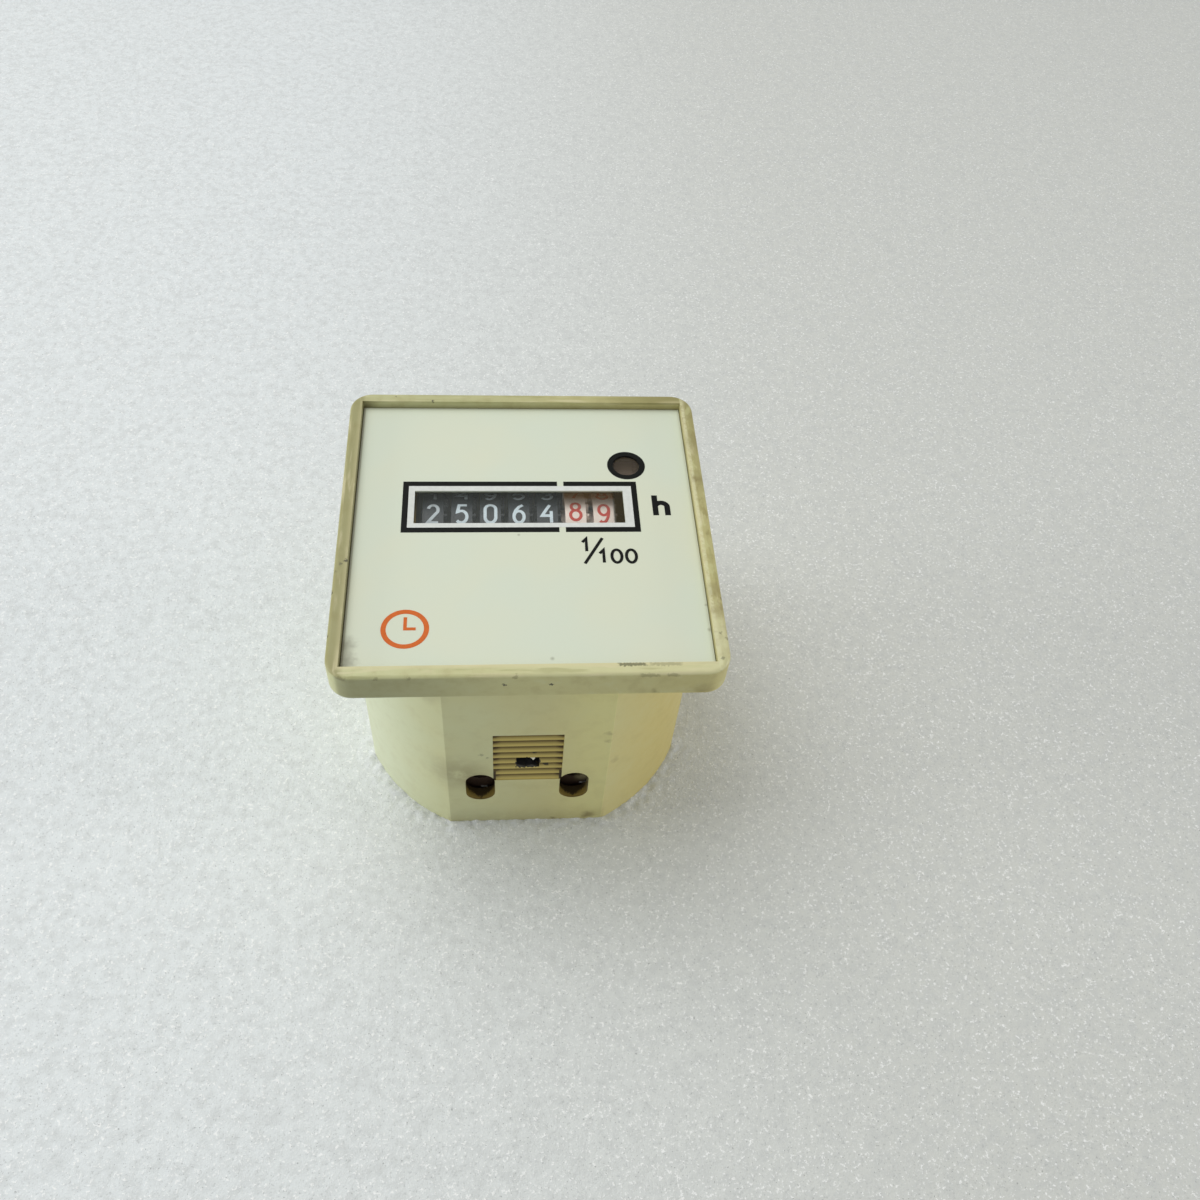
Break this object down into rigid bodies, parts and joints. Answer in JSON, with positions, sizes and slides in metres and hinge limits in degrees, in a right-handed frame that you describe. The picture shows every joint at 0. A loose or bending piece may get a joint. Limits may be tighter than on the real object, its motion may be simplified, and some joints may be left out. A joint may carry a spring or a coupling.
{
  "type": "panel hour meter",
  "caption": "Square-fronted panel hour meter with a flatted round body, a drum counter behind a window, a running indicator and a small gear motor inside.",
  "frame": {"origin": "middle of the back, on the surface that the meter lies on", "axes": "+Z out of the face, +Y to the top of the face, +X to the right of the face"},
  "size_m": [0.048, 0.048, 0.0404],
  "materials": {
    "case_plastic": "satin, yellowed ivory moulding",
    "printed_film": "matt printed film",
    "clear_pane": "clear",
    "plated_steel": "zinc plated",
    "brass": "plain turned brass",
    "black_wheel": "black moulding",
    "white_wheel": "cream moulding",
    "grey_pinion": "grey moulding",
    "copper_winding": "enamelled copper wire",
    "magnet": "sintered ferrite"
  },
  "bodies": {
    "case": {"housing": "case_plastic", "rear_cover": "case_plastic", "cover_screws": "plated_steel", "front_pane": "clear_pane", "dial_foil": "printed_film", "chassis": "plated_steel", "wheel_shaft": "plated_steel", "pinion_shaft": "plated_steel", "gear_pins": "plated_steel", "stator_cup_left": "plated_steel", "stator_cup_right": "plated_steel", "bobbin": "black_wheel", "coil": "copper_winding", "motor_pillars": "plated_steel", "terminal_left": "brass", "terminal_right": "brass", "terminal_screws": "plated_steel"},
    "rotor": {"rotor_magnet": "magnet", "rotor_shaft": "plated_steel", "rotor_pinion": "brass"},
    "number_wheel_1": {"number_wheel_1": "white_wheel"},
    "number_wheel_2": {"number_wheel_2": "white_wheel"},
    "number_wheel_3": {"number_wheel_3": "black_wheel"},
    "number_wheel_4": {"number_wheel_4": "black_wheel"},
    "number_wheel_5": {"number_wheel_5": "black_wheel"},
    "number_wheel_6": {"number_wheel_6": "black_wheel"},
    "number_wheel_7": {"number_wheel_7": "black_wheel"},
    "transfer_pinion_1": {"transfer_pinion_1": "grey_pinion"},
    "transfer_pinion_2": {"transfer_pinion_2": "grey_pinion"},
    "transfer_pinion_3": {"transfer_pinion_3": "grey_pinion"},
    "transfer_pinion_4": {"transfer_pinion_4": "grey_pinion"},
    "transfer_pinion_5": {"transfer_pinion_5": "grey_pinion"},
    "transfer_pinion_6": {"transfer_pinion_6": "grey_pinion"},
    "drive_gear": {"drive_gear": "white_wheel"},
    "gear_3": {"gear_3": "brass"},
    "gear_2": {"gear_2": "brass"},
    "gear_1": {"gear_1": "brass"},
    "indicator_drum": {"indicator_drum": "white_wheel"}
  },
  "joints": [
    {"name": "number_wheel_1_turn", "type": "hinge", "parent": "case", "child": "number_wheel_1", "pos_m": [0.0105, 0.00465, 0.0303], "axis": [-1, 0, 0], "continuous": true},
    {"name": "number_wheel_2_turn", "type": "hinge", "parent": "case", "child": "number_wheel_2", "pos_m": [0.0067, 0.00465, 0.0303], "axis": [-1, 0, 0], "continuous": true},
    {"name": "number_wheel_3_turn", "type": "hinge", "parent": "case", "child": "number_wheel_3", "pos_m": [0.0029, 0.00465, 0.0303], "axis": [-1, 0, 0], "continuous": true},
    {"name": "number_wheel_4_turn", "type": "hinge", "parent": "case", "child": "number_wheel_4", "pos_m": [-0.0009, 0.00465, 0.0303], "axis": [-1, 0, 0], "continuous": true},
    {"name": "number_wheel_5_turn", "type": "hinge", "parent": "case", "child": "number_wheel_5", "pos_m": [-0.0047, 0.00465, 0.0303], "axis": [-1, 0, 0], "continuous": true},
    {"name": "number_wheel_6_turn", "type": "hinge", "parent": "case", "child": "number_wheel_6", "pos_m": [-0.0085, 0.00465, 0.0303], "axis": [-1, 0, 0], "continuous": true},
    {"name": "number_wheel_7_turn", "type": "hinge", "parent": "case", "child": "number_wheel_7", "pos_m": [-0.0123, 0.00465, 0.0303], "axis": [-1, 0, 0], "continuous": true},
    {"name": "transfer_pinion_1_turn", "type": "hinge", "parent": "case", "child": "transfer_pinion_1", "pos_m": [0.00855, -0.00262, 0.0261], "axis": [1, 0, 0], "continuous": true},
    {"name": "transfer_pinion_2_turn", "type": "hinge", "parent": "case", "child": "transfer_pinion_2", "pos_m": [0.00475, -0.00262, 0.0261], "axis": [1, 0, 0], "continuous": true},
    {"name": "transfer_pinion_3_turn", "type": "hinge", "parent": "case", "child": "transfer_pinion_3", "pos_m": [0.00095, -0.00262, 0.0261], "axis": [1, 0, 0], "continuous": true},
    {"name": "transfer_pinion_4_turn", "type": "hinge", "parent": "case", "child": "transfer_pinion_4", "pos_m": [-0.00285, -0.00262, 0.0261], "axis": [1, 0, 0], "continuous": true},
    {"name": "transfer_pinion_5_turn", "type": "hinge", "parent": "case", "child": "transfer_pinion_5", "pos_m": [-0.00665, -0.00262, 0.0261], "axis": [1, 0, 0], "continuous": true},
    {"name": "transfer_pinion_6_turn", "type": "hinge", "parent": "case", "child": "transfer_pinion_6", "pos_m": [-0.01045, -0.00262, 0.0261], "axis": [1, 0, 0], "continuous": true},
    {"name": "drive_gear_turn", "type": "hinge", "parent": "case", "child": "drive_gear", "pos_m": [0.013, -0.00262, 0.0261], "axis": [1, 0, 0], "continuous": true},
    {"name": "gear_3_turn", "type": "hinge", "parent": "case", "child": "gear_3", "pos_m": [0.014, 0.00227, 0.02075], "axis": [-1, 0, 0], "continuous": true},
    {"name": "gear_2_turn", "type": "hinge", "parent": "case", "child": "gear_2", "pos_m": [0.015, 0.0089, 0.02426], "axis": [1, 0, 0], "continuous": true},
    {"name": "gear_1_turn", "type": "hinge", "parent": "case", "child": "gear_1", "pos_m": [0.016, 0.0085, 0.01677], "axis": [-1, 0, 0], "continuous": true},
    {"name": "rotor_turn", "type": "hinge", "parent": "case", "child": "rotor", "pos_m": [0, 0.0024, 0.0124], "axis": [1, 0, 0], "continuous": true},
    {"name": "indicator_drum_turn", "type": "hinge", "parent": "case", "child": "indicator_drum", "pos_m": [0.014, 0.012, 0.0335], "axis": [-1, 0, 0], "continuous": true}
  ],
  "couplings": [
    {"joint": "number_wheel_2_turn", "follows": "number_wheel_1_turn", "ratio": 0.1},
    {"joint": "number_wheel_3_turn", "follows": "number_wheel_1_turn", "ratio": 0.01},
    {"joint": "number_wheel_4_turn", "follows": "number_wheel_1_turn", "ratio": 0.001},
    {"joint": "number_wheel_5_turn", "follows": "number_wheel_1_turn", "ratio": 0.0001},
    {"joint": "number_wheel_6_turn", "follows": "number_wheel_1_turn", "ratio": 0.00001},
    {"joint": "number_wheel_7_turn", "follows": "number_wheel_1_turn", "ratio": 0.000001},
    {"joint": "transfer_pinion_1_turn", "follows": "number_wheel_1_turn", "ratio": 0.25},
    {"joint": "transfer_pinion_2_turn", "follows": "number_wheel_1_turn", "ratio": 0.025},
    {"joint": "transfer_pinion_3_turn", "follows": "number_wheel_1_turn", "ratio": 0.0025},
    {"joint": "transfer_pinion_4_turn", "follows": "number_wheel_1_turn", "ratio": 0.00025},
    {"joint": "transfer_pinion_5_turn", "follows": "number_wheel_1_turn", "ratio": 0.000025},
    {"joint": "transfer_pinion_6_turn", "follows": "number_wheel_1_turn", "ratio": 0.0000025},
    {"joint": "drive_gear_turn", "follows": "number_wheel_1_turn", "ratio": 2.5},
    {"joint": "gear_3_turn", "follows": "number_wheel_1_turn", "ratio": 12},
    {"joint": "gear_2_turn", "follows": "number_wheel_1_turn", "ratio": 60},
    {"joint": "gear_1_turn", "follows": "number_wheel_1_turn", "ratio": 300},
    {"joint": "rotor_turn", "follows": "number_wheel_1_turn", "ratio": 1500},
    {"joint": "indicator_drum_turn", "follows": "number_wheel_1_turn", "ratio": 107.14}
  ]
}
